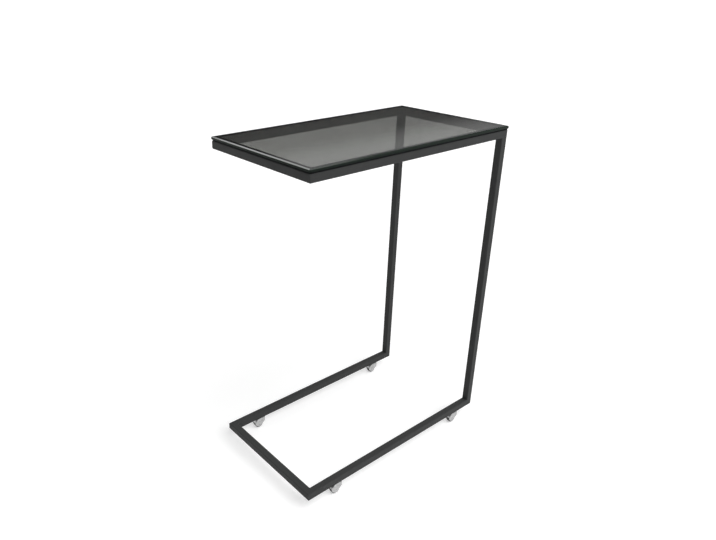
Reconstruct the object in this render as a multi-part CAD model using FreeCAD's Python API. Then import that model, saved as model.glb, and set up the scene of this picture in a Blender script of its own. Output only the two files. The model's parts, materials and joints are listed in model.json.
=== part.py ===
import FreeCAD, Part

import math
import os

# C-shaped side table: a square-tube frame, a glass top on foam strips and four swivel casters.
# Millimetres, +Z up. The origin is on the floor under the middle of the top. +X runs from the open
# end to the uprights, and +Y is the left of someone who stands at the open end and faces them.

Vector = FreeCAD.Vector
UP = Vector(0, 0, 1)
ACROSS = Vector(0, 1, 0)

# ---------------------------------------------------------------- frame
table_length = 500.0  # over the frame, along X
table_width = 282.0  # over the frame, along Y
frame_height = 652.0  # underside of the base to the top of the top frame
tube_side = 15.0
tube_wall = 1.2
tube_corner_radius = 1.5  # outside corners

# ---------------------------------------------------------------- glass top
glass_thickness = 6.0
glass_overhang = 1.5  # how far the pane reaches past the frame, all round
glass_corner_radius = 3.0
glass_arris = 1.2  # ground bevel round both faces
bumper_width = 10.0  # foam strip under the pane's edge
bumper_height = 2.0
bumper_setback = 1.0  # frame's outer faces to the strips

# ---------------------------------------------------------------- casters
open_caster_setback = 81.0  # frame's open end to the swivel axis of the two casters there
back_caster_setback = 55.0  # frame's back end to the swivel axis of the two casters there
rest_swivel_deg = 0.0  # 0 has every wheel trail towards the open end

wheel_radius = 10.0
tread_width = 9.0
wheel_side_clearance = 0.6  # wheel to fork leg, each side
wheel_headroom = 2.5  # tread to the underside of the fork's crown

axle_radius = 1.5
axle_offset = 7.0  # swivel axis to wheel axis
axle_end_height = 0.5  # peened end, outside the fork leg
axle_hole_clearance = 0.03  # radial, in the fork legs
running_clearance = 0.06  # radial, wheel on axle and fork on kingpin

fork_sheet = 1.0
fork_bend = 0.6  # flat across the outside of the bend from crown and hood to each leg
hood_clearance = 0.8  # tread to the inside of the hood, in front
hood_end_deg = 165.0  # hood's lower edge between the legs, about its own centre from +X over the top
leg_front_deg = 185.0  # where the legs' front edges leave the hood's curve, counted likewise
leg_end_radius = 7.6  # round lower end of the leg, about the axle
leg_back_reach = 7.4  # swivel axis to the straight back edge of the leg
leg_back_drop = 10.0  # length of that edge, from the crown's top
leg_notch_drop = 1.3  # where the leg's lower back edge meets its round end, below the axle
crown_nose = 2.5  # how far the crown runs on behind the legs

collar_across_flats = 10.0
collar_thickness = 1.45
swivel_play = 0.05  # crown to the collar above it and to the kingpin's head below it
kingpin_radius = 2.5
kingpin_head_radius = 3.3
kingpin_head_height = 1.0
stem_radius = 2.95  # M6 thread, drawn at its crests
stem_length = 11.5

insert_flange_thickness = 0.5
insert_flange_across_flats = 11.0
insert_barrel_across_flats = 9.0
insert_depth = 10.0  # above the rail's underside
insert_bore_radius = 3.0
insert_hole_clearance = 0.1  # each side of the barrel

# ---------------------------------------------------------------- worked out
half_length = table_length / 2
half_width = table_width / 2
side_y = half_width - tube_side / 2  # centre lines of the side frames

wheel_top = 2 * wheel_radius
crown_underside = wheel_top + wheel_headroom
crown_top = crown_underside + fork_sheet
collar_underside = crown_top + swivel_play
collar_top = collar_underside + collar_thickness
base_underside = collar_top + insert_flange_thickness
base_centre = base_underside + tube_side / 2
frame_top = base_underside + frame_height
top_centre = frame_top - tube_side / 2
glass_underside = frame_top + bumper_height

hood_radius = wheel_radius + hood_clearance + fork_sheet
leg_inside = tread_width / 2 + wheel_side_clearance
leg_outside = leg_inside + fork_sheet

SIDES = {"left": 1, "right": -1}
ENDS = {
    "open": -half_length + open_caster_setback,
    "back": half_length - back_caster_setback,
}


# ---------------------------------------------------------------- shape helpers
def rounded_rectangle(length, width, radius):
    """Closed wire in the XY plane, centred on the origin, with arcs at its corners."""
    x, y = length / 2, width / 2
    nudge = radius * (1 - math.sqrt(0.5))
    edges = []
    corners = [(x, y, 0), (-x, y, 90), (-x, -y, 180), (x, -y, 270)]
    for cx, cy, turn in corners:
        sx, sy = math.copysign(1, cx), math.copysign(1, cy)
        ends = [Vector(cx, cy - sy * radius, 0), Vector(cx - sx * radius, cy, 0)]
        start, end = ends if turn % 180 == 0 else reversed(ends)
        middle = Vector(cx - sx * nudge, cy - sy * nudge, 0)
        edges.append(Part.Arc(start, middle, end).toShape())
    joined = []
    for arc, following in zip(edges, edges[1:] + edges[:1]):
        joined.append(arc)
        joined.append(Part.makeLine(arc.Vertexes[-1].Point, following.Vertexes[0].Point))
    return Part.Wire(joined)


def revolved(profile, axis=UP):
    """Solid of revolution about an axis through the origin, from (radius, height) points."""
    across = Vector(1, 0, 0)
    points = [across * radius + axis * height for radius, height in profile]
    wire = Part.makePolygon(points + points[:1])
    return Part.Face(wire).revolve(Vector(), axis, 360)


def hexagon(across_flats, height, foot):
    """Hexagonal prism that stands on the XY plane's height foot, about the Z axis."""
    reach = across_flats / math.sqrt(3)
    turns = [math.radians(60 * corner) for corner in range(6)]
    corners = [Vector(reach * math.cos(turn), reach * math.sin(turn), foot) for turn in turns]
    return Part.Face(Part.makePolygon(corners + corners[:1])).extrude(UP * height)


def trimmed(solid, point, outward):
    """The solid without what lies beyond the plane through point that faces outward."""
    reach = 2 * solid.BoundBox.DiagonalLength
    block = Part.makeBox(reach, reach, reach, Vector(-reach / 2, -reach / 2, 0))
    block.Placement = FreeCAD.Placement(point, FreeCAD.Rotation(UP, outward))
    return solid.cut(block)


# ---------------------------------------------------------------- frame tubes
def square_tube(start, end):
    """Hollow square tube with rounded outer corners, whose centre line runs from start to end."""
    bore_side = tube_side - 2 * tube_wall
    outer = rounded_rectangle(tube_side, tube_side, tube_corner_radius)
    bore = Part.makePlane(bore_side, bore_side, Vector(-bore_side / 2, -bore_side / 2, 0))
    section = Part.makeFace([outer, bore.OuterWire], "Part::FaceMakerBullseye")
    tube = section.extrude(UP * (end - start).Length)
    tube.Placement = FreeCAD.Placement(start, FreeCAD.Rotation(UP, end - start))
    return tube


def mitred(tube, corner, along, meeting):
    """The tube cut at its outer corner, where it runs along one way and meets a tube that runs another."""
    return trimmed(tube, corner, along - meeting)


def side_rail(side, height, outer_height, upright_run):
    """Rail along X, mitred to the end rail at the open end and to the upright at the back."""
    rail = square_tube(Vector(-half_length, side * side_y, height), Vector(half_length, side * side_y, height))
    outer_y = side * half_width
    rail = mitred(rail, Vector(-half_length, outer_y, height), Vector(-1, 0, 0), Vector(0, side, 0))
    return mitred(rail, Vector(half_length, outer_y, outer_height), Vector(1, 0, 0), upright_run)


def base_side_rail(side):
    """Lower side rail, with a hexagonal hole in its underside for each caster's insert."""
    rail = side_rail(side, base_centre, base_underside, -UP)
    across_flats = insert_barrel_across_flats + 2 * insert_hole_clearance
    for swivel_x in ENDS.values():
        hole = hexagon(across_flats, 2 * tube_wall, base_underside - tube_wall / 2)
        hole.translate(Vector(swivel_x, side * side_y, 0))
        rail = rail.cut(hole)
    return rail


def open_end_rail(height):
    """Rail along Y at the open end, mitred to both side rails."""
    x = -half_length + tube_side / 2
    rail = square_tube(Vector(x, -half_width, height), Vector(x, half_width, height))
    for side in SIDES.values():
        corner = Vector(-half_length, side * half_width, height)
        rail = mitred(rail, corner, Vector(0, side, 0), Vector(-1, 0, 0))
    return rail


def back_end_rail():
    """Upper rail along Y between the two side frames, butted to their inner faces."""
    x = half_length - tube_side / 2
    y = half_width - tube_side
    return square_tube(Vector(x, -y, top_centre), Vector(x, y, top_centre))


def upright(side):
    """Tube at the back, mitred to the base rail below and the top rail above."""
    x = half_length - tube_side / 2
    y = side * side_y
    tube = square_tube(Vector(x, y, base_underside), Vector(x, y, frame_top))
    for end, run in ((base_underside, -UP), (frame_top, UP)):
        tube = mitred(tube, Vector(half_length, y, end), run, Vector(1, 0, 0))
    return tube


# ---------------------------------------------------------------- glass top
def glass_top():
    """Pane with round corners and a ground arris round both faces."""
    outline = rounded_rectangle(
        table_length + 2 * glass_overhang, table_width + 2 * glass_overhang, glass_corner_radius
    )
    pane = Part.Face(outline).extrude(UP * glass_thickness)
    pane.translate(UP * glass_underside)
    rim = [edge for edge in pane.Edges if abs(edge.tangentAt(edge.FirstParameter).z) < 0.5]
    return pane.makeChamfer(glass_arris, rim)


def strip(length, width, x, y):
    """Length of foam strip on the top frame, square to it, centred on x and y."""
    return Part.makeBox(length, width, bumper_height, Vector(x - length / 2, y - width / 2, frame_top))


def glass_bumpers():
    """Adhesive foam strips along all four rails: two full-length ones and two between them."""
    centre_line = bumper_setback + bumper_width / 2
    x = half_length - centre_line
    y = half_width - centre_line
    strips = [strip(2 * x + bumper_width, bumper_width, 0, side * y) for side in SIDES.values()]
    strips += [strip(bumper_width, 2 * y - bumper_width, end * x, 0) for end in (-1, 1)]
    return Part.makeCompound(strips)


# ---------------------------------------------------------------- caster pieces
# Each is built with its swivel axis on the Z axis, at its real height above the floor, and with its
# wheel towards -X.
def caster_insert():
    """Hexagonal rivet nut in the rail: a thin flange under the wall and a barrel above it."""
    flange = hexagon(insert_flange_across_flats, insert_flange_thickness, collar_top)
    barrel = hexagon(insert_barrel_across_flats, insert_depth, base_underside)
    bore = Part.makeCylinder(
        insert_bore_radius, insert_flange_thickness + insert_depth, UP * collar_top
    )
    return flange.fuse(barrel).cut(bore)


def caster_stem():
    """Threaded stem, hexagon collar, kingpin and the head riveted under the crown, in one piece."""
    head_top = crown_underside - swivel_play
    head_foot = head_top - kingpin_head_height
    pin = revolved(
        [
            (0, head_foot),
            (kingpin_head_radius, head_foot),
            (kingpin_head_radius, head_top),
            (kingpin_radius, head_top),
            (kingpin_radius, collar_top),
            (stem_radius, collar_top),
            (stem_radius, collar_top + stem_length),
            (0, collar_top + stem_length),
        ]
    )
    return pin.fuse(hexagon(collar_across_flats, collar_thickness, collar_underside))


AXLE = Vector(-axle_offset, 0, wheel_radius)
HOOD_CENTRE = Vector(-axle_offset, 0, crown_top - hood_radius)


def around(centre, radius, turn):
    """The point at that radius from a centre in the XZ plane, turned from +X over the top."""
    return centre + Vector(math.cos(turn), 0, math.sin(turn)) * radius


def arc_around(centre, radius, start, end):
    """Arc about a centre in the XZ plane from one turn to another."""
    points = [around(centre, radius, turn) for turn in (start, (start + end) / 2, end)]
    return Part.Arc(*points).toShape()


def fork_outline():
    """Side view of the fork in the XZ plane: flat crown, round front and round lower end."""
    top_turn = math.pi / 2
    front_turn = math.radians(leg_front_deg)
    front = around(HOOD_CENTRE, hood_radius, front_turn)
    to_front = front - AXLE
    tangent_turn = (
        math.atan2(to_front.z, to_front.x) % (2 * math.pi) + math.acos(leg_end_radius / to_front.Length)
    )
    notch_turn = 2 * math.pi - math.asin(leg_notch_drop / leg_end_radius)
    back = [
        around(AXLE, leg_end_radius, notch_turn),
        Vector(leg_back_reach, 0, crown_top - leg_back_drop),
        Vector(leg_back_reach, 0, crown_top),
        around(HOOD_CENTRE, hood_radius, top_turn),
    ]
    pieces = [
        Part.makePolygon(back),
        arc_around(HOOD_CENTRE, hood_radius, top_turn, front_turn),
        Part.makeLine(front, around(AXLE, leg_end_radius, tangent_turn)),
        arc_around(AXLE, leg_end_radius, tangent_turn, notch_turn),
    ]
    return Part.Face(Part.Wire(pieces))


def wheel_space():
    """Room for the wheel between the legs, open below and behind and under the hood's lower edge."""
    inner_radius = hood_radius - fork_sheet
    far = 2 * hood_radius
    end_turn = math.radians(hood_end_deg)
    beyond = around(HOOD_CENTRE, far, end_turn)
    rest = [
        around(HOOD_CENTRE, inner_radius, end_turn),
        beyond,
        Vector(beyond.x, 0, -far),
        Vector(far, 0, -far),
        Vector(far, 0, crown_underside),
        around(HOOD_CENTRE, inner_radius, math.pi / 2),
    ]
    pieces = [arc_around(HOOD_CENTRE, inner_radius, math.pi / 2, end_turn), Part.makePolygon(rest)]
    space = Part.Face(Part.Wire(pieces)).extrude(ACROSS * 2 * leg_inside)
    space.translate(ACROSS * -leg_inside)
    return space


def crown_tail():
    """The crown's end behind the legs, narrowed to a blunt point."""
    tip = leg_back_reach + crown_nose
    half = leg_outside - fork_bend
    quarter = [(leg_back_reach, -half), (tip, -half / 2), (tip, half / 2), (leg_back_reach, half)]
    corners = [Vector(x, y, crown_underside) for x, y in quarter]
    return Part.Face(Part.makePolygon(corners + corners[:1])).extrude(UP * fork_sheet)


def outer_bends(block):
    """Edges of the block's two sides that run along the crown's top and the round front."""
    bends = []
    for edge in block.Edges:
        middle = edge.valueAt((edge.FirstParameter + edge.LastParameter) / 2)
        at_side = abs(abs(middle.y) - leg_outside) < 1e-6
        on_crown = abs(middle.z - crown_top) < 1e-6
        on_front = isinstance(edge.Curve, Part.Circle) and abs(edge.Curve.Radius - hood_radius) < 1e-6
        if at_side and (on_crown or on_front):
            bends.append(edge)
    return bends


def caster_fork():
    """Pressed fork in one sheet: a crown that curves down into a hood, and a leg on each side."""
    block = fork_outline().extrude(ACROSS * 2 * leg_outside)
    block.translate(ACROSS * -leg_outside)
    block = block.makeChamfer(fork_bend, outer_bends(block))
    fork = block.cut(wheel_space()).fuse(crown_tail()).removeSplitter()
    axle_foot = AXLE - ACROSS * (leg_outside + 1)
    axle_hole = Part.makeCylinder(
        axle_radius + axle_hole_clearance, 2 * leg_outside + 2, axle_foot, ACROSS
    )
    kingpin_hole = Part.makeCylinder(
        kingpin_radius + running_clearance, 3 * fork_sheet, Vector(0, 0, crown_underside - fork_sheet)
    )
    return fork.cut(axle_hole).cut(kingpin_hole)


def about_axle(solid):
    """Moves a piece that was revolved about the Y axis to the wheel's axle."""
    solid.translate(AXLE)
    return solid


def caster_axle():
    """Pin through both legs, peened over on their outsides."""
    reach = leg_outside + axle_end_height
    return about_axle(Part.makeCylinder(axle_radius, 2 * reach, ACROSS * -reach, ACROSS))


def caster_wheel():
    """Solid rubber wheel, bored to run on the axle."""
    bore = axle_radius + running_clearance
    half = tread_width / 2
    profile = [(bore, half), (wheel_radius, half), (wheel_radius, -half), (bore, -half)]
    return about_axle(revolved(profile, ACROSS))


CASTER_PIECES = {
    "caster_insert": (caster_insert, False),
    "caster_stem": (caster_stem, False),
    "caster_fork": (caster_fork, True),
    "caster_axle": (caster_axle, True),
    "caster_wheel": (caster_wheel, True),
}


def placed(shape, end, side, swivels):
    """A caster piece at its place under the frame, turned with the fork if it swivels."""
    angle = rest_swivel_deg if swivels else 0.0
    copy = shape.copy()
    copy.rotate(Vector(), UP, angle)
    copy.translate(Vector(ENDS[end], SIDES[side] * side_y, 0))
    return copy


# ---------------------------------------------------------------- the part
def build_nodes():
    """Every sub-part by its node's name."""
    nodes = {
        "top_end_rail_open": open_end_rail(top_centre),
        "top_end_rail_back": back_end_rail(),
        "base_end_rail": open_end_rail(base_centre),
        "glass_top": glass_top(),
        "glass_bumpers": glass_bumpers(),
    }
    for name, side in SIDES.items():
        nodes["top_side_rail_" + name] = side_rail(side, top_centre, frame_top, UP)
        nodes["upright_" + name] = upright(side)
        nodes["base_side_rail_" + name] = base_side_rail(side)
    for piece, (make, swivels) in CASTER_PIECES.items():
        shape = make()
        for end in ENDS:
            for side in SIDES:
                nodes[f"{piece}_{end}_{side}"] = placed(shape, end, side, swivels)
    return nodes


def main():
    os.makedirs("parts", exist_ok=True)
    for name, shape in build_nodes().items():
        shape.exportStep(f"parts/{name}.step")
        print(f"{name:32s} solids {len(shape.Solids):2d}  volume {shape.Volume:10.2f}  valid {shape.isValid()}")


main()
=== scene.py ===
"""Looks of the C-shaped side table on casters, in metres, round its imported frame."""

import json
import logging
import math
from collections.abc import Callable, Iterable
from dataclasses import dataclass, field
from enum import Enum

import bmesh
import bpy
from mathutils import Matrix, Vector

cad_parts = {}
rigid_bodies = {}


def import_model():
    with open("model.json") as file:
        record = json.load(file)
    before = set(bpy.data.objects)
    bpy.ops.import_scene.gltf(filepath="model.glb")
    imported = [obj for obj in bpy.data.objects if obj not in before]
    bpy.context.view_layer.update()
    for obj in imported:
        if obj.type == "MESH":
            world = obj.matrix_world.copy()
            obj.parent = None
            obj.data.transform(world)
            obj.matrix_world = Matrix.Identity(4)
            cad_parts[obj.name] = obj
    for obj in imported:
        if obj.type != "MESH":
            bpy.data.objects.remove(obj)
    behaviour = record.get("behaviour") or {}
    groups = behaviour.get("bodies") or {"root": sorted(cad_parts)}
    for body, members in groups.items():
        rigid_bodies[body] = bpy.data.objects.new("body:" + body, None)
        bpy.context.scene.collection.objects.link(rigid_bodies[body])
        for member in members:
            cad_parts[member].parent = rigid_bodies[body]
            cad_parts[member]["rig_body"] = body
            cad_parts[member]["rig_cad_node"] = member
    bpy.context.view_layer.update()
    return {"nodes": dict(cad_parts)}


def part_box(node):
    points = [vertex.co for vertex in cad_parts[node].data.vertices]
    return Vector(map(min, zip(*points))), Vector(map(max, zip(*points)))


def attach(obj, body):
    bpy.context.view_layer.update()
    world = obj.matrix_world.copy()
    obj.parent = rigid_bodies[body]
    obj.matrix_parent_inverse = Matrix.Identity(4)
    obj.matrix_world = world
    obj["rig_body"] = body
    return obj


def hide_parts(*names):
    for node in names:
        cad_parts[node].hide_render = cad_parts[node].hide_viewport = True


MM = 0.001
UP = Vector((0, 0, 1))
SAME_WAY = 0.9  # directions count as the same when the cosine between them is above this
BEND_SLOPE = math.sqrt(0.5)  # cosine between Y and the flat of a fork's bend
BEND_SLACK = 0.02  # how far off it may be
BEND_TURN = (40, 50)  # degrees between which a fork turns at each side of such a flat
MANY_SIDED = 8  # a face with more sides than this is round
WHITE = (1.0, 1.0, 1.0, 1.0)
log = logging.getLogger("side_table")


class Slot(Enum):
    """The record's material slots."""

    FRAME = "frame_powder_coat"
    GLASS = "tinted_glass"
    BUMPER = "foam_bumper"
    ZINC = "zinc_plated_steel"
    WHEEL = "wheel_rubber"


class Corner(Enum):
    """The four casters, by the end and the side of the base that each carries."""

    OPEN_LEFT = "open_left"
    OPEN_RIGHT = "open_right"
    BACK_LEFT = "back_left"
    BACK_RIGHT = "back_right"


class Kind(Enum):
    """What is selected on a mesh in edit mode."""

    FACES = "FACE"
    EDGES = "EDGE"


# ---------------------------------------------------------------- the bench
class Workpiece:
    """A mesh that starts as a primitive at its size and place and is shaped in edit mode."""

    def __init__(self, name: str) -> None:
        """Takes the active object, such as a new primitive, and goes into edit mode.

        Args:
            name: the piece's name.
        """
        self.item = bpy.context.object
        self.item.name = self.item.data.name = name
        bpy.ops.object.transform_apply(location=True, rotation=True, scale=True)
        bpy.ops.object.mode_set(mode="EDIT")

    @classmethod
    def block(cls, name: str, low: Vector, high: Vector) -> "Workpiece":
        """A box between two corners.

        Args:
            name: the piece's name.
            low: lowest corner.
            high: highest corner.

        Returns:
            The piece, in edit mode.
        """
        bpy.ops.object.select_all(action="DESELECT")
        bpy.ops.mesh.primitive_cube_add(size=1, location=(low + high) / 2, scale=high - low)
        return cls(name)

    @classmethod
    def rod(cls, name: str, foot: Vector, top: Vector, radius: float, sides: int) -> "Workpiece":
        """A round or many-sided bar between two points.

        Args:
            name: the piece's name.
            foot: centre of one end.
            top: centre of the other end.
            radius: radius to the corners.
            sides: number of sides.

        Returns:
            The piece, in edit mode.
        """
        run = top - foot
        bpy.ops.object.select_all(action="DESELECT")
        bpy.ops.mesh.primitive_cylinder_add(
            vertices=sides,
            radius=radius,
            depth=run.length,
            location=(foot + top) / 2,
            rotation=run.to_track_quat("Z", "Y").to_euler(),
        )
        return cls(name)

    def pick(
        self, kind: Kind, test: Callable[[bmesh.types.BMFace | bmesh.types.BMEdge], bool]
    ) -> None:
        """Selects just the faces or the edges that pass a test.

        Args:
            kind: faces or edges.
            test: tells of one of them whether it is wanted.
        """
        bpy.ops.mesh.select_mode(type=kind.value)
        bpy.ops.mesh.select_all(action="DESELECT")
        mesh = bmesh.from_edit_mesh(self.item.data)
        for part in mesh.faces if kind is Kind.FACES else mesh.edges:
            part.select_set(test(part))
        bmesh.update_edit_mesh(self.item.data)

    def bevel(self, width: float, steps: int) -> None:
        """Rounds the selected edges in some steps, or chamfers them in one."""
        bpy.ops.mesh.bevel(offset=width, segments=steps, affect="EDGES")

    def inset(self, width: float) -> None:
        """Insets the selected faces one by one."""
        bpy.ops.mesh.inset(thickness=width, use_individual=True)

    def push(self, travel: Vector) -> None:
        """Moves what is selected."""
        bpy.ops.transform.translate(value=travel)

    def swell(self, factor: Vector) -> None:
        """Scales what is selected about its own middle."""
        bpy.ops.transform.resize(value=factor)

    def divide(self, cuts: int) -> None:
        """Cuts the selected edges into equal lengths."""
        bpy.ops.mesh.subdivide(number_cuts=cuts)

    def bridge(self) -> None:
        """Joins the two selected faces by a passage between them."""
        bpy.ops.mesh.bridge_edge_loops()

    def paint(self, finish: bpy.types.Material) -> None:
        """Gives the selected faces one of the piece's materials."""
        self.item.active_material_index = self.item.data.materials.find(finish.name)
        bpy.ops.object.material_slot_assign()

    def done(self, smooth_deg: float = 35.0) -> bpy.types.Object:
        """Leaves edit mode and shades the piece smooth where it is nearly flat.

        Args:
            smooth_deg: sharpest angle that is still shaded smooth.

        Returns:
            The finished object, whose place is in its mesh.
        """
        bpy.ops.mesh.select_all(action="SELECT")
        bpy.ops.mesh.normals_make_consistent(inside=False)
        bpy.ops.object.mode_set(mode="OBJECT")
        bpy.ops.object.shade_smooth_by_angle(angle=math.radians(smooth_deg))
        return self.item


def joined(items: Iterable[bpy.types.Object], name: str) -> bpy.types.Object:
    """One object made of several.

    Args:
        items: the objects to join.
        name: the joined object's name.

    Returns:
        The joined object.
    """
    parts = list(items)
    bpy.ops.object.select_all(action="DESELECT")
    for part in parts:
        part.select_set(True)
    bpy.context.view_layer.objects.active = parts[0]
    bpy.ops.object.join()
    parts[0].name = parts[0].data.name = name
    return parts[0]


def copied(item: bpy.types.Object, name: str, travel: Vector) -> bpy.types.Object:
    """A copy with its own mesh, moved within that mesh.

    Args:
        item: the object to copy.
        name: the copy's name.
        travel: how far it is moved.

    Returns:
        The copy.
    """
    twin = item.copy()
    twin.data = item.data.copy()
    twin.name = twin.data.name = name
    twin.data.transform(Matrix.Translation(travel))
    bpy.context.scene.collection.objects.link(twin)
    return twin


def fitted(item: bpy.types.Object, kind: str, **settings: object) -> None:
    """Adds a modifier to an object and applies it.

    Args:
        item: the object.
        kind: the modifier's type.
        settings: the modifier's own settings.
    """
    bpy.ops.object.select_all(action="DESELECT")
    item.select_set(True)
    bpy.context.view_layer.objects.active = item
    modifier = item.modifiers.new(kind.title(), kind)
    for key, value in settings.items():
        setattr(modifier, key, value)
    bpy.ops.object.modifier_apply(modifier=modifier.name)


def is_upright(edge: bmesh.types.BMEdge) -> bool:
    """Whether an edge runs up and down."""
    return abs((edge.verts[0].co - edge.verts[1].co).normalized().z) > SAME_WAY


def is_cap(face: bmesh.types.BMFace) -> bool:
    """Whether a face is a round end: many-sided, and square to the wheels' axles."""
    return len(face.verts) > MANY_SIDED and abs(face.normal.y) > SAME_WAY


def rims_cap(edge: bmesh.types.BMEdge) -> bool:
    """Whether an edge runs round the end of a rod."""
    return any(is_cap(face) for face in edge.link_faces)


def is_bend_flat(face: bmesh.types.BMFace) -> bool:
    """Whether a face is a flat of a fork's bend, at 45 degrees to Y and not turned to the back."""
    return abs(abs(face.normal.y) - BEND_SLOPE) < BEND_SLACK and face.normal.x < 0.1


def is_bend_side(edge: bmesh.types.BMEdge) -> bool:
    """Tells whether a fork's bend meets a plain face at an edge.

    Args:
        edge: an edge of the fork.

    Returns:
        True where a flat of the bend turns by about 45 degrees into another face.
    """
    flats = [is_bend_flat(face) for face in edge.link_faces]
    if len(flats) != 2 or sum(flats) != 1:
        return False
    least, most = BEND_TURN
    return least < math.degrees(edge.calc_face_angle()) < most


# ---------------------------------------------------------------- finishes
class Nodes:
    """Adds and links the nodes of one tree."""

    def __init__(self, tree: bpy.types.NodeTree) -> None:
        """Empties the tree of a material, a world or a group."""
        self.tree = tree
        tree.nodes.clear()

    def add(
        self, kind: str, inputs: dict[str | int, object] | None = None, **settings: object
    ) -> bpy.types.Node:
        """One node.

        Args:
            kind: the node's type, without its ShaderNode prefix.
            inputs: a value or an output socket for each input, by the input's name or number.
            settings: the node's own settings.

        Returns:
            The node.
        """
        prefix = "" if kind.startswith("Node") else "ShaderNode"
        node = self.tree.nodes.new(prefix + kind)
        for key, value in settings.items():
            setattr(node, key, value)
        for key, value in (inputs or {}).items():
            if isinstance(value, bpy.types.NodeSocket):
                self.tree.links.new(value, node.inputs[key])
            else:
                node.inputs[key].default_value = value
        return node

    def group(self, group: bpy.types.NodeTree, inputs: dict[str, object]) -> bpy.types.Node:
        """One use of a node group.

        Args:
            group: the node group.
            inputs: this use's own values, by the inputs' names.

        Returns:
            The group's node.
        """
        node = self.tree.nodes.new("ShaderNodeGroup")
        node.node_tree = group
        for key, value in inputs.items():
            node.inputs[key].default_value = value
        return node


def new_group(name: str, inputs: dict[str, float], output: str) -> tuple[Nodes, bpy.types.Node]:
    """An empty node group with number sockets.

    Args:
        name: the group's name.
        inputs: each input's name and default.
        output: the output's name.

    Returns:
        The group's nodes, and its input node.
    """
    tree = bpy.data.node_groups.new(name, "ShaderNodeTree")
    number = "NodeSocketFloat"
    for label, default in inputs.items():
        socket = tree.interface.new_socket(name=label, in_out="INPUT", socket_type=number)
        socket.default_value = default
    tree.interface.new_socket(name=output, in_out="OUTPUT", socket_type=number)
    nodes = Nodes(tree)
    return nodes, nodes.add("NodeGroupInput")


def fine_grain() -> bpy.types.NodeTree:
    """Group for the small bumps of a sprayed or moulded skin.

    Returns:
        A group that puts out a height from 0 to 1.
    """
    nodes, given = new_group("fine_grain", {"Scale": 1000.0, "Roundness": 0.5}, "Height")
    pattern = {"Vector": nodes.add("TexCoord").outputs["Object"], "Scale": given.outputs["Scale"]}
    bumps = nodes.add("TexNoise", {**pattern, "Detail": 3.0, "Roughness": 0.55})
    cells = nodes.add("TexVoronoi", pattern, feature="SMOOTH_F1")
    both = nodes.add(
        "Mix",
        {
            "Factor": given.outputs["Roundness"],
            "A": bumps.outputs["Fac"],
            "B": cells.outputs["Distance"],
        },
    )
    nodes.add("NodeGroupOutput", {"Height": both.outputs["Result"]})
    return nodes.tree


def clouding() -> bpy.types.NodeTree:
    """Group for slow changes over a surface, such as handling marks and thin dust.

    Returns:
        A group that puts out a value between its Low and High inputs.
    """
    nodes, given = new_group("clouding", {"Scale": 12.0, "Low": 0.0, "High": 1.0}, "Value")
    pattern = {"Vector": nodes.add("TexCoord").outputs["Object"], "Scale": given.outputs["Scale"]}
    cloud = nodes.add("TexNoise", {**pattern, "Detail": 4.0, "Roughness": 0.6})
    spread = nodes.add(
        "MapRange",
        {
            "Value": cloud.outputs["Fac"],
            "From Min": 0.32,
            "From Max": 0.68,
            "To Min": given.outputs["Low"],
            "To Max": given.outputs["High"],
        },
    )
    nodes.add("NodeGroupOutput", {"Value": spread.outputs["Result"]})
    return nodes.tree


@dataclass(frozen=True)
class Effects:
    """The node groups that the finishes share."""

    grain: bpy.types.NodeTree
    clouding: bpy.types.NodeTree


@dataclass(frozen=True)
class Finish:
    """A finish with grain, clouded colour and clouded roughness.

    Attributes:
        name: the material's name.
        color: linear base colour.
        roughness: lowest and highest roughness.
        grain_size: size of the small bumps, in metres.
        grain_depth: height of the small bumps, in metres.
        grain_roundness: 0 for noise, 1 for round cells.
        cloud_size: size of the slow patches, in metres.
        cloud_lift: how much lighter the palest patches are, as a share.
        matt_scale: how many patches of roughness there are along one of colour.
        metallic: 1 for bare or plated metal.
        shader: further sockets of the Principled shader.
    """

    name: str
    color: tuple[float, float, float]
    roughness: tuple[float, float]
    grain_size: float
    grain_depth: float
    grain_roundness: float = 0.4
    cloud_size: float = 80 * MM
    cloud_lift: float = 0.1
    matt_scale: float = 2.3
    metallic: float = 0.0
    shader: dict[str, object] = field(default_factory=dict)

    def material(self, effects: Effects) -> bpy.types.Material:
        """Builds the material.

        Args:
            effects: the shared node groups.

        Returns:
            The material.
        """
        made = bpy.data.materials.new(self.name)
        made.use_nodes = True
        nodes = Nodes(made.node_tree)
        grain = {"Scale": 1 / self.grain_size, "Roundness": self.grain_roundness}
        height = nodes.group(effects.grain, grain).outputs["Height"]
        bump = nodes.add("Bump", {"Height": height, "Distance": self.grain_depth, "Strength": 1.0})
        patches = 1 / self.cloud_size
        tone = nodes.group(effects.clouding, {"Scale": patches, "Low": 0.0, "High": 1.0})
        pale = tuple(min(1.0, channel * (1 + self.cloud_lift)) for channel in self.color)
        color = nodes.add(
            "Mix",
            {"Factor": tone.outputs["Value"], "A": (*self.color, 1), "B": (*pale, 1)},
            data_type="RGBA",
        )
        low, high = self.roughness
        sheen = {"Scale": self.matt_scale * patches, "Low": low, "High": high}
        matt = nodes.group(effects.clouding, sheen)
        shader = nodes.add(
            "BsdfPrincipled",
            {
                "Base Color": color.outputs["Result"],
                "Roughness": matt.outputs["Value"],
                "Normal": bump.outputs["Normal"],
                "Metallic": self.metallic,
                **self.shader,
            },
        )
        nodes.add("OutputMaterial", {"Surface": shader.outputs["BSDF"]})
        return made


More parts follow.
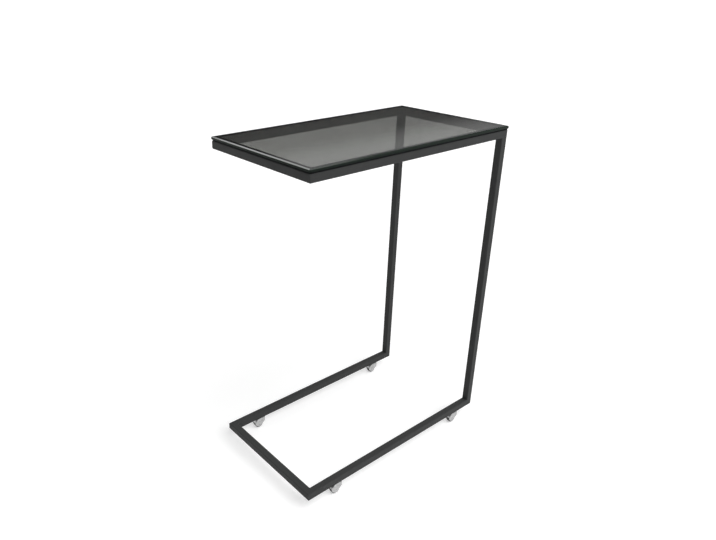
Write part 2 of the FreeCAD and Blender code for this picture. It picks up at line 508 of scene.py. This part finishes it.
@dataclass(frozen=True)
class Finishes:
    """Every finish on the table."""

    powder_coat: bpy.types.Material
    glass: bpy.types.Material
    glass_edge: bpy.types.Material
    glass_arris: bpy.types.Material
    foam: bpy.types.Material
    zinc: bpy.types.Material
    rubber: bpy.types.Material

    @classmethod
    def mixed(cls) -> "Finishes":
        """Mixes them all.

        Returns:
            The finishes, with one node group for each shared effect.
        """
        effects = Effects(grain=fine_grain(), clouding=clouding())
        powder = Finish(
            "powder_coat",
            color=(0.041, 0.042, 0.042),
            roughness=(0.5, 0.6),
            grain_size=0.5 * MM,
            grain_depth=0.03 * MM,
            shader={"Specular IOR Level": 0.12},
        )
        glass = Finish(
            "tinted_glass",
            color=(0.178, 0.181, 0.171),
            roughness=(0.0, 0.01),
            grain_size=60 * MM,
            grain_depth=0.001 * MM,
            cloud_lift=0.04,
            shader={"Transmission Weight": 1.0, "IOR": 1.5},
        )
        glass_edge = Finish(
            "glass_edge",
            color=(0.010, 0.015, 0.012),
            roughness=(0.16, 0.24),
            grain_size=0.4 * MM,
            grain_depth=0.002 * MM,
            shader={"Specular IOR Level": 0.06},
        )
        glass_arris = Finish(
            "glass_arris",
            color=(0.020, 0.030, 0.024),
            roughness=(0.10, 0.14),
            grain_size=0.4 * MM,
            grain_depth=0.001 * MM,
            shader={"IOR": 1.5},
        )
        # Near-black foam: partly the strips' own colour, partly painted shade, set as dark as the
        # shaded gap under the glass's overhang.
        foam = Finish(
            "foam_and_gap_shade",
            color=(0.010, 0.010, 0.011),
            roughness=(0.8, 0.95),
            grain_size=0.25 * MM,
            grain_depth=0.05 * MM,
            grain_roundness=0.8,
            cloud_size=15 * MM,
            shader={"Specular IOR Level": 0.05},
        )
        zinc = Finish(
            "zinc_plate",
            color=(0.37, 0.37, 0.37),
            roughness=(0.2, 0.4),
            grain_size=0.5 * MM,
            grain_depth=0.006 * MM,
            cloud_size=5 * MM,
            cloud_lift=0.4,
            metallic=1.0,
        )
        rubber = Finish(
            "black_rubber",
            color=(0.018, 0.018, 0.019),
            roughness=(0.5, 0.65),
            grain_size=0.35 * MM,
            grain_depth=0.01 * MM,
            cloud_size=8 * MM,
        )
        recipes = (powder, glass, glass_edge, glass_arris, foam, zinc, rubber)
        return cls(*(recipe.material(effects) for recipe in recipes))


# ---------------------------------------------------------------- the object
def dress(
    nodes: dict[str, bpy.types.Object], names: Iterable[str], finish: bpy.types.Material
) -> None:
    """Gives CAD nodes that stay in view a better finish.

    Args:
        nodes: the frame's nodes.
        names: the nodes to dress.
        finish: their material.
    """
    for name in names:
        if not nodes[name].material_slots:
            nodes[name].data.materials.append(finish)
        for place in nodes[name].material_slots:
            place.material = finish
        log.info("%s keeps its shape and gets %s", name, finish.name)


@dataclass
class TubeFrame:
    """The welded square-tube frame.

    Attributes:
        finish: the powder coat.
        nodes: the frame's CAD nodes.
    """

    finish: bpy.types.Material
    nodes: dict[str, bpy.types.Object]

    def build(self) -> None:
        """Dresses the nine tubes."""
        tubes = [name for name in self.nodes if "rail" in name or "upright" in name]
        dress(self.nodes, sorted(tubes), self.finish)


@dataclass
class GlassTop:
    """The tinted pane and the foam strips that it lies on.

    Attributes:
        finishes: every finish.
        corner_radius: round corners of the pane.
        arris: width of the ground bevel round the lower face, and depth of both.
        rim: width of the polished bevel round the upper face.
        rim_slope: least and most that the normal of that bevel rises.
        crease_deg: sharpest angle on the pane that is still shaded smooth.
        corner_steps: facets of a round corner.
        strip_width: width of a foam strip.
        strip_bulge: how far the pressed foam swells out at half its height.
        strip_gap: gap at each end of a short strip, into which the foam swells.
        strip_corner: rounding of a strip's cut corners.
        strip_corner_steps: facets of such a corner.
        near: heights count as the same when they differ by less than this.
    """

    finishes: Finishes
    corner_radius: float = 3 * MM
    arris: float = 1.2 * MM
    rim: float = 2.8 * MM
    rim_slope: tuple[float, float] = (0.3, 0.99)
    crease_deg: float = 15.0
    corner_steps: int = 12
    strip_width: float = 10 * MM
    strip_bulge: float = 0.15 * MM
    strip_gap: float = 0.4 * MM
    strip_corner: float = 0.5 * MM
    strip_corner_steps: int = 3
    near: float = 0.1 * MM

    def build(self) -> None:
        """Makes the pane and the strips."""
        self.pane()
        self.strips()

    def pane(self) -> None:
        """Makes the pane, clear on its faces and dark green at its ground edges."""
        low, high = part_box("glass_top")
        piece = Workpiece.block("glass_pane", low, high)
        for finish in (self.finishes.glass, self.finishes.glass_edge, self.finishes.glass_arris):
            piece.item.data.materials.append(finish)
        piece.pick(Kind.EDGES, is_upright)
        piece.bevel(self.corner_radius, self.corner_steps)
        piece.pick(
            Kind.EDGES, lambda edge: sum(face.normal.z < -SAME_WAY for face in edge.link_faces) == 1
        )
        piece.bevel(self.arris, 1)
        piece.pick(Kind.FACES, lambda face: face.normal.z > SAME_WAY)
        piece.inset(self.rim)
        piece.pick(
            Kind.EDGES, lambda edge: {round(face.normal.z) for face in edge.link_faces} == {0, 1}
        )
        piece.push(UP * -self.arris)
        least, most = self.rim_slope
        piece.pick(Kind.FACES, lambda face: -SAME_WAY < face.normal.z < least)
        piece.paint(self.finishes.glass_edge)
        piece.pick(Kind.FACES, lambda face: least < face.normal.z < most)
        piece.paint(self.finishes.glass_arris)
        item = piece.done(self.crease_deg)
        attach(item, "root")
        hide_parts("glass_top")
        log.info("%s made", item.name)

    def strips(self) -> None:
        """Lays two long foam strips along the sides and two short ones between them."""
        low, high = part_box("glass_bumpers")
        inset = Vector((0, self.strip_width + self.strip_gap, 0))
        side = Vector((high.x, low.y + self.strip_width, high.z))
        end = Vector((low.x + self.strip_width, high.y - self.strip_width - self.strip_gap, high.z))
        long_travel = Vector((0, high.y - low.y - self.strip_width, 0))
        short_travel = Vector((high.x - low.x - self.strip_width, 0, 0))
        laid = []
        runs = ((low, side, long_travel), (low + inset, end, short_travel))
        for corner, opposite, travel in runs:
            strip = self.strip(corner, opposite)
            laid += [strip, copied(strip, "strip", travel)]
        item = joined(laid, "foam_strips")
        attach(item, "root")
        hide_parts("glass_bumpers")
        log.info("%s made", item.name)

    def strip(self, low: Vector, high: Vector) -> bpy.types.Object:
        """Makes one foam strip, pressed so that its sides swell.

        Args:
            low: lowest corner.
            high: highest corner.

        Returns:
            The strip.
        """
        middle = (low.z + high.z) / 2
        size = high - low
        swell = 2 * self.strip_bulge
        swollen = Vector((1 + swell / size.x, 1 + swell / size.y, 1))
        piece = Workpiece.block("strip", low, high)
        piece.item.data.materials.append(self.finishes.foam)
        piece.pick(Kind.EDGES, is_upright)
        piece.bevel(self.strip_corner, self.strip_corner_steps)
        piece.pick(Kind.EDGES, is_upright)
        piece.divide(1)
        piece.pick(
            Kind.EDGES,
            lambda edge: all(abs(vertex.co.z - middle) < self.near for vertex in edge.verts),
        )
        piece.swell(swollen)
        return piece.done()


@dataclass
class Caster:
    """One swivel caster.

    Attributes:
        corner: which of the four it is.
        finishes: every finish.
        nodes: the frame's CAD nodes.
        round_sides: sides of the wheel and the axle.
        shoulder: rounding of the tread's two shoulders.
        shoulder_steps: facets of that rounding.
        rim: flat ring inside the shoulder.
        dish_depth: how far the wheel's sides are sunk between rim and boss.
        draft: slope of the dish's walls, as a width.
        boss_radius: radius of the boss at its foot.
        bore_radius: hole for the axle.
        peen: rounding of the axle's two ends.
        peen_steps: facets of that rounding.
        peen_crease_deg: sharpest angle on the axle that is still shaded smooth.
        form_gap: corners of a CAD form that lie nearer than this are one.
        flat_deg: faces of a CAD form whose directions differ by less than this are one.
        bend_rounding: how much of each side of the fork's bend is taken into its rounding.
        bend_steps: facets of that rounding.
        weld_gap: corners of the rounded bends that lie nearer than this are one.
        eased_edge: rounding of turned steel edges.
        sheet_edge: rounding of sheared steel edges.
        eased_steps: facets of both roundings.
        sharp_deg: least angle of an edge that is eased.
        crease_deg: sharpest angle on eased steel that is still shaded smooth.
    """

    corner: Corner
    finishes: Finishes
    nodes: dict[str, bpy.types.Object]
    round_sides: int = 72
    shoulder: float = 1.3 * MM
    shoulder_steps: int = 6
    rim: float = 0.9 * MM
    dish_depth: float = 0.8 * MM
    draft: float = 0.4 * MM
    boss_radius: float = 3.2 * MM
    bore_radius: float = 1.56 * MM
    peen: float = 0.45 * MM
    peen_steps: int = 5
    peen_crease_deg: float = 50.0
    form_gap: float = 0.002 * MM
    flat_deg: float = 1.0
    bend_rounding: float = 0.4 * MM
    bend_steps: int = 3
    weld_gap: float = 0.01 * MM
    eased_edge: float = 0.12 * MM
    sheet_edge: float = 0.05 * MM
    eased_steps: int = 2
    sharp_deg: float = 40.0
    crease_deg: float = 30.0

    def build(self) -> None:
        """Makes every piece of the caster."""
        tag = self.corner.value
        for name in (f"caster_insert_{tag}", f"caster_stem_{tag}"):
            item = self.eased(self.steel(name), self.eased_edge)
            self.mount(item, "root", name)
        self.fork(tag)
        self.axle(tag)
        self.wheel(tag)

    def steel(self, name: str) -> bpy.types.Object:
        """Copies a steel piece's CAD form, as few flat faces.

        Args:
            name: the piece's CAD node.

        Returns:
            The copy, plated.
        """
        item = copied(self.nodes[name], name.removeprefix("caster_"), Vector())
        item.parent = None
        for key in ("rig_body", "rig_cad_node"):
            del item[key]
        item.data.materials.clear()
        item.data.materials.append(self.finishes.zinc)
        fitted(item, "WELD", merge_threshold=self.form_gap)
        flat = math.radians(self.flat_deg)
        fitted(item, "DECIMATE", decimate_type="DISSOLVE", angle_limit=flat)
        return item

    def eased(self, item: bpy.types.Object, width: float) -> bpy.types.Object:
        """Eases a steel piece's sharp edges.

        Args:
            item: the piece.
            width: width of the rounding.

        Returns:
            The same piece.
        """
        fitted(
            item,
            "BEVEL",
            width=width,
            segments=self.eased_steps,
            limit_method="ANGLE",
            angle_limit=math.radians(self.sharp_deg),
        )
        bpy.ops.object.shade_smooth_by_angle(angle=math.radians(self.crease_deg))
        return item

    def fork(self, tag: str) -> None:
        """Makes the pressed fork, with the bends between its crown, hood and legs round.

        Args:
            tag: the caster's name.
        """
        name = f"caster_fork_{tag}"
        item = self.steel(name)
        piece = Workpiece(item.name)
        piece.pick(Kind.EDGES, is_bend_side)
        piece.bevel(self.bend_rounding, self.bend_steps)
        fitted(piece.done(), "WELD", merge_threshold=self.weld_gap)
        self.mount(self.eased(item, self.sheet_edge), f"swivel_{tag}", name)

    def turned(self, name: str, node: str, finish: bpy.types.Material) -> tuple[Workpiece, float]:
        """Starts a turned piece along Y in its CAD node's box, with the rims of its ends picked.

        Args:
            name: the piece's name.
            node: its CAD node.
            finish: its material.

        Returns:
            The piece, in edit mode, and its radius.
        """
        low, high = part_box(node)
        middle = (low + high) / 2
        reach = Vector((0, (high.y - low.y) / 2, 0))
        radius = (high.z - low.z) / 2
        piece = Workpiece.rod(name, middle - reach, middle + reach, radius, self.round_sides)
        piece.item.data.materials.append(finish)
        piece.pick(Kind.EDGES, rims_cap)
        return piece, radius

    def axle(self, tag: str) -> None:
        """Makes the axle pin with its two peened ends.

        Args:
            tag: the caster's name.
        """
        name = f"caster_axle_{tag}"
        piece, _ = self.turned(f"axle_{tag}", name, self.finishes.zinc)
        piece.bevel(self.peen, self.peen_steps)
        self.mount(piece.done(self.peen_crease_deg), f"swivel_{tag}", name)

    def wheel(self, tag: str) -> None:
        """Makes the moulded wheel: rounded tread, dished sides and a bored boss round the axle.

        Args:
            tag: the caster's name.
        """
        name = f"caster_wheel_{tag}"
        piece, radius = self.turned(f"wheel_{tag}", name, self.finishes.rubber)
        piece.bevel(self.shoulder, self.shoulder_steps)
        web = radius - self.shoulder - self.rim - self.draft - self.boss_radius
        for side in (1, -1):
            inward = Vector((0, -side * self.dish_depth, 0))
            piece.pick(
                Kind.FACES, lambda face, side=side: is_cap(face) and face.normal.y * side > 0
            )
            piece.inset(self.rim)
            piece.inset(self.draft)
            piece.push(inward)
            piece.inset(web)
            piece.inset(self.draft / 2)
            piece.push(-inward)
            piece.inset(self.boss_radius - self.draft / 2 - self.bore_radius)
        piece.pick(Kind.FACES, is_cap)
        piece.bridge()
        self.mount(piece.done(), f"wheel_{tag}", name)

    def mount(self, item: bpy.types.Object, body: str, node: str) -> None:
        """Tells the frame what a piece moves with, and hides the CAD node that it replaces.

        Args:
            item: the piece.
            body: the body that it moves with.
            node: the CAD node that it replaces.
        """
        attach(item, body)
        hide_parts(node)
        log.info("%s made, on %s", item.name, body)


# ---------------------------------------------------------------- the stage
@dataclass
class Studio:
    """Floor, lamps, world and camera.

    Attributes:
        image_width: width of the picture, in pixels.
        image_height: height of the picture, in pixels.
        focal_px: focal length, in pixels.
        centre_x: principal point from the left edge, in pixels.
        centre_y: principal point from the top edge, in pixels.
        place: the camera's place.
        turn_deg: turn about Z.
        down_deg: how far the camera looks below the horizon.
        roll_deg: turn about its own line of sight.
        floor_radius: the floor's radius.
        floor_sides: its number of sides.
        floor_white: its own colour.
        floor_lift: what is added to the floor where it is seen.
        sky: strength of the world's light from -X and from +X.
        sun_strength: irradiance of the key.
        sun_spread_deg: how wide the key is.
        sun_way: where the key is, from the table.
        sun_distance: how far it hangs, which changes nothing but the scene's layout.
        glass_middle: middle of the glass.
        strip_way: where the strip lamp is, from the middle of the glass.
        strip_distance: how far it is.
        strip_size: its two sides.
        strip_power: its power, in watts.
        card_way: where the dark card stands, from the table.
        card_distance: how far it stands.
        card_size: its width and height.
        card_slant: how far its shading drops towards its right, per metre.
        card_shade: shaded heights between which it turns from dark to pale, and back again.
        card_glow: its radiance where it is dark and where it is pale.
    """

    image_width: int = 716
    image_height: int = 540
    focal_px: float = 629.51
    centre_x: float = 303.99
    centre_y: float = 273.81
    place: Vector = field(default_factory=lambda: Vector((-835.26, -851.55, 942.22)) * MM)
    turn_deg: float = -38.903
    down_deg: float = 25.012
    roll_deg: float = 0.055
    floor_radius: float = 60.0
    floor_sides: int = 96
    floor_white: float = 0.7
    floor_lift: float = 0.46
    sky: tuple[float, float] = (0.26, 0.7)
    sun_strength: float = 2.0
    sun_spread_deg: float = 50.0
    sun_way: Vector = field(default_factory=lambda: Vector((0.15, -0.45, 0.88)))
    sun_distance: float = 3.0
    glass_middle: Vector = field(default_factory=lambda: Vector((0, 0, 0.68)))
    strip_way: Vector = field(default_factory=lambda: Vector((0.104, 0.8, 0.59)))
    strip_distance: float = 2.5
    strip_size: tuple[float, float] = (0.9, 1.0)
    strip_power: float = 8.5
    card_way: Vector = field(default_factory=lambda: Vector((0.66, 0.75, 0)))
    card_distance: float = 1.8
    card_size: tuple[float, float] = (8.0, 2.8)
    card_slant: float = 0.2
    card_shade: tuple[float, float, float, float] = (1.08, 1.2, 1.5, 1.7)
    card_glow: tuple[float, float] = (0.05, 0.33)

    def build(self) -> None:
        """Sets up the whole stage."""
        self.camera()
        self.floor()
        self.world()
        self.lamps()
        self.card()
        bpy.context.scene.view_settings.view_transform = "Standard"

    def camera(self) -> None:
        """Places the camera."""
        data = bpy.data.cameras.new("camera")
        data.lens = self.focal_px / self.image_width * data.sensor_width
        data.shift_x = 0.5 - self.centre_x / self.image_width
        data.shift_y = (self.centre_y - self.image_height / 2) / self.image_width
        item = bpy.data.objects.new("camera", data)
        item.location = self.place
        turns = ((self.turn_deg, "Z"), (90 - self.down_deg, "X"), (self.roll_deg, "Z"))
        aim = Matrix.Identity(3)
        for angle, axis in turns:
            aim = aim @ Matrix.Rotation(math.radians(angle), 3, axis)
        item.rotation_euler = aim.to_euler()
        bpy.context.scene.collection.objects.link(item)
        bpy.context.scene.camera = item

    def seen(self, nodes: Nodes) -> bpy.types.NodeSocket:
        """Tells rays that show a surface from rays that it lights.

        Args:
            nodes: the tree that asks.

        Returns:
            1 for camera, mirrored and refracted rays, and 0 for the others.
        """
        path = nodes.add("LightPath").outputs
        either = path["Is Camera Ray"]
        for kind in ("Is Glossy Ray", "Is Transmission Ray"):
            either = nodes.add("Math", {0: either, 1: path[kind]}, operation="MAXIMUM").outputs[0]
        return either

    def floor(self) -> None:
        """Lays a large pale floor, a little lifted where it is seen."""
        bpy.ops.object.select_all(action="DESELECT")
        bpy.ops.mesh.primitive_circle_add(
            vertices=self.floor_sides, radius=self.floor_radius, fill_type="NGON"
        )
        item = bpy.context.object
        item.name = "floor"
        made = bpy.data.materials.new("floor")
        made.use_nodes = True
        nodes = Nodes(made.node_tree)
        lift = nodes.add("Math", {0: self.seen(nodes), 1: self.floor_lift}, operation="MULTIPLY")
        shader = nodes.add(
            "BsdfPrincipled",
            {
                "Base Color": (*[self.floor_white] * 3, 1),
                "Roughness": 1.0,
                "Specular IOR Level": 0.0,
                "Emission Color": WHITE,
                "Emission Strength": lift.outputs[0],
            },
        )
        nodes.add("OutputMaterial", {"Surface": shader.outputs["BSDF"]})
        item.data.materials.append(made)

    def world(self) -> None:
        """Lights the scene softly, less from the open end, and shows white behind it."""
        world = bpy.data.worlds.new("studio")
        world.use_nodes = True
        nodes = Nodes(world.node_tree)
        way = nodes.add("SeparateXYZ", {"Vector": nodes.add("TexCoord").outputs["Generated"]})
        low, high = self.sky
        soft = nodes.add(
            "MapRange",
            {
                "Value": way.outputs["X"],
                "From Min": -1.0,
                "From Max": 1.0,
                "To Min": low,
                "To Max": high,
            },
        ).outputs["Result"]
        strength = nodes.add("Mix", {"Factor": self.seen(nodes), "A": soft, "B": 1.0})
        light = nodes.add("Background", {"Color": WHITE, "Strength": strength.outputs["Result"]})
        nodes.add("OutputWorld", {"Surface": light.outputs["Background"]})
        bpy.context.scene.world = world

    def lamps(self) -> None:
        """Hangs a broad sun as the key and a lamp that draws a line on the polished rim."""
        sun = bpy.data.lights.new("key", "SUN")
        sun.energy = self.sun_strength
        sun.angle = math.radians(self.sun_spread_deg)
        self.hang(sun, self.sun_way * self.sun_distance)
        strip = bpy.data.lights.new("strip", "AREA")
        strip.shape = "RECTANGLE"
        strip.size, strip.size_y = self.strip_size
        strip.energy = self.strip_power
        line = self.hang(strip, self.glass_middle + self.strip_way * self.strip_distance)
        line.visible_camera = line.visible_diffuse = line.visible_transmission = False

    def hang(self, lamp: bpy.types.Light, place: Vector) -> bpy.types.Object:
        """Puts a lamp at a place, turned to the middle of the glass.

        Args:
            lamp: the lamp.
            place: where it hangs.

        Returns:
            The lamp's object.
        """
        item = bpy.data.objects.new(lamp.name, lamp)
        item.location = place
        item.rotation_euler = (self.glass_middle - place).to_track_quat("-Z", "Y").to_euler()
        bpy.context.scene.collection.objects.link(item)
        return item

    def card(self) -> None:
        """Stands a dark card with a slanting pale band behind the table, seen only in gloss."""
        width, height = self.card_size
        bpy.ops.object.select_all(action="DESELECT")
        bpy.ops.mesh.primitive_plane_add(
            size=1,
            location=self.card_way * self.card_distance + UP * height / 2,
            rotation=(math.radians(90), 0, math.atan2(-self.card_way.x, self.card_way.y)),
        )
        item = bpy.context.object
        item.scale = (width, height, 1)
        item.name = "shaded_card"
        made = bpy.data.materials.new("shaded_card")
        made.use_nodes = True
        nodes = Nodes(made.node_tree)
        place = nodes.add("TexCoord").outputs["Object"]
        across = nodes.add("SeparateXYZ", {"Vector": place}).outputs
        shaded: float | bpy.types.NodeSocket = height / 2
        for way, size in ((across["Y"], height), (across["X"], self.card_slant * width)):
            terms = {0: way, 1: size, 2: shaded}
            shaded = nodes.add("Math", terms, operation="MULTIPLY_ADD").outputs[0]
        turns = []
        for start, end in (self.card_shade[:2], self.card_shade[2:]):
            reach = {"Value": shaded, "From Min": start, "From Max": end}
            turn = nodes.add("MapRange", reach, interpolation_type="SMOOTHSTEP")
            turns.append(turn.outputs["Result"])
        band = nodes.add("Math", {0: turns[0], 1: turns[1]}, operation="SUBTRACT").outputs[0]
        dark, pale = self.card_glow
        strength = nodes.add("MapRange", {"Value": band, "To Min": dark, "To Max": pale})
        glow = nodes.add("Emission", {"Color": WHITE, "Strength": strength.outputs["Result"]})
        through = nodes.add("LightPath").outputs["Is Transmission Ray"]
        clear = nodes.add("BsdfTransparent")
        mixed = nodes.add(
            "MixShader", {0: through, 1: glow.outputs["Emission"], 2: clear.outputs["BSDF"]}
        )
        nodes.add("OutputMaterial", {"Surface": mixed.outputs["Shader"]})
        item.data.materials.append(made)
        for ray in ("camera", "diffuse", "transmission", "shadow"):
            setattr(item, f"visible_{ray}", False)


# ---------------------------------------------------------------- all of it
def main() -> None:
    """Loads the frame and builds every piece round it."""
    logging.basicConfig(level=logging.INFO, format="%(name)s: %(message)s")
    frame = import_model()
    nodes = frame["nodes"]
    finishes = Finishes.mixed()
    Studio().build()
    TubeFrame(finishes.powder_coat, nodes).build()
    GlassTop(finishes).build()
    for corner in Corner:
        Caster(corner, finishes, nodes).build()


if __name__ == "__main__":
    main()
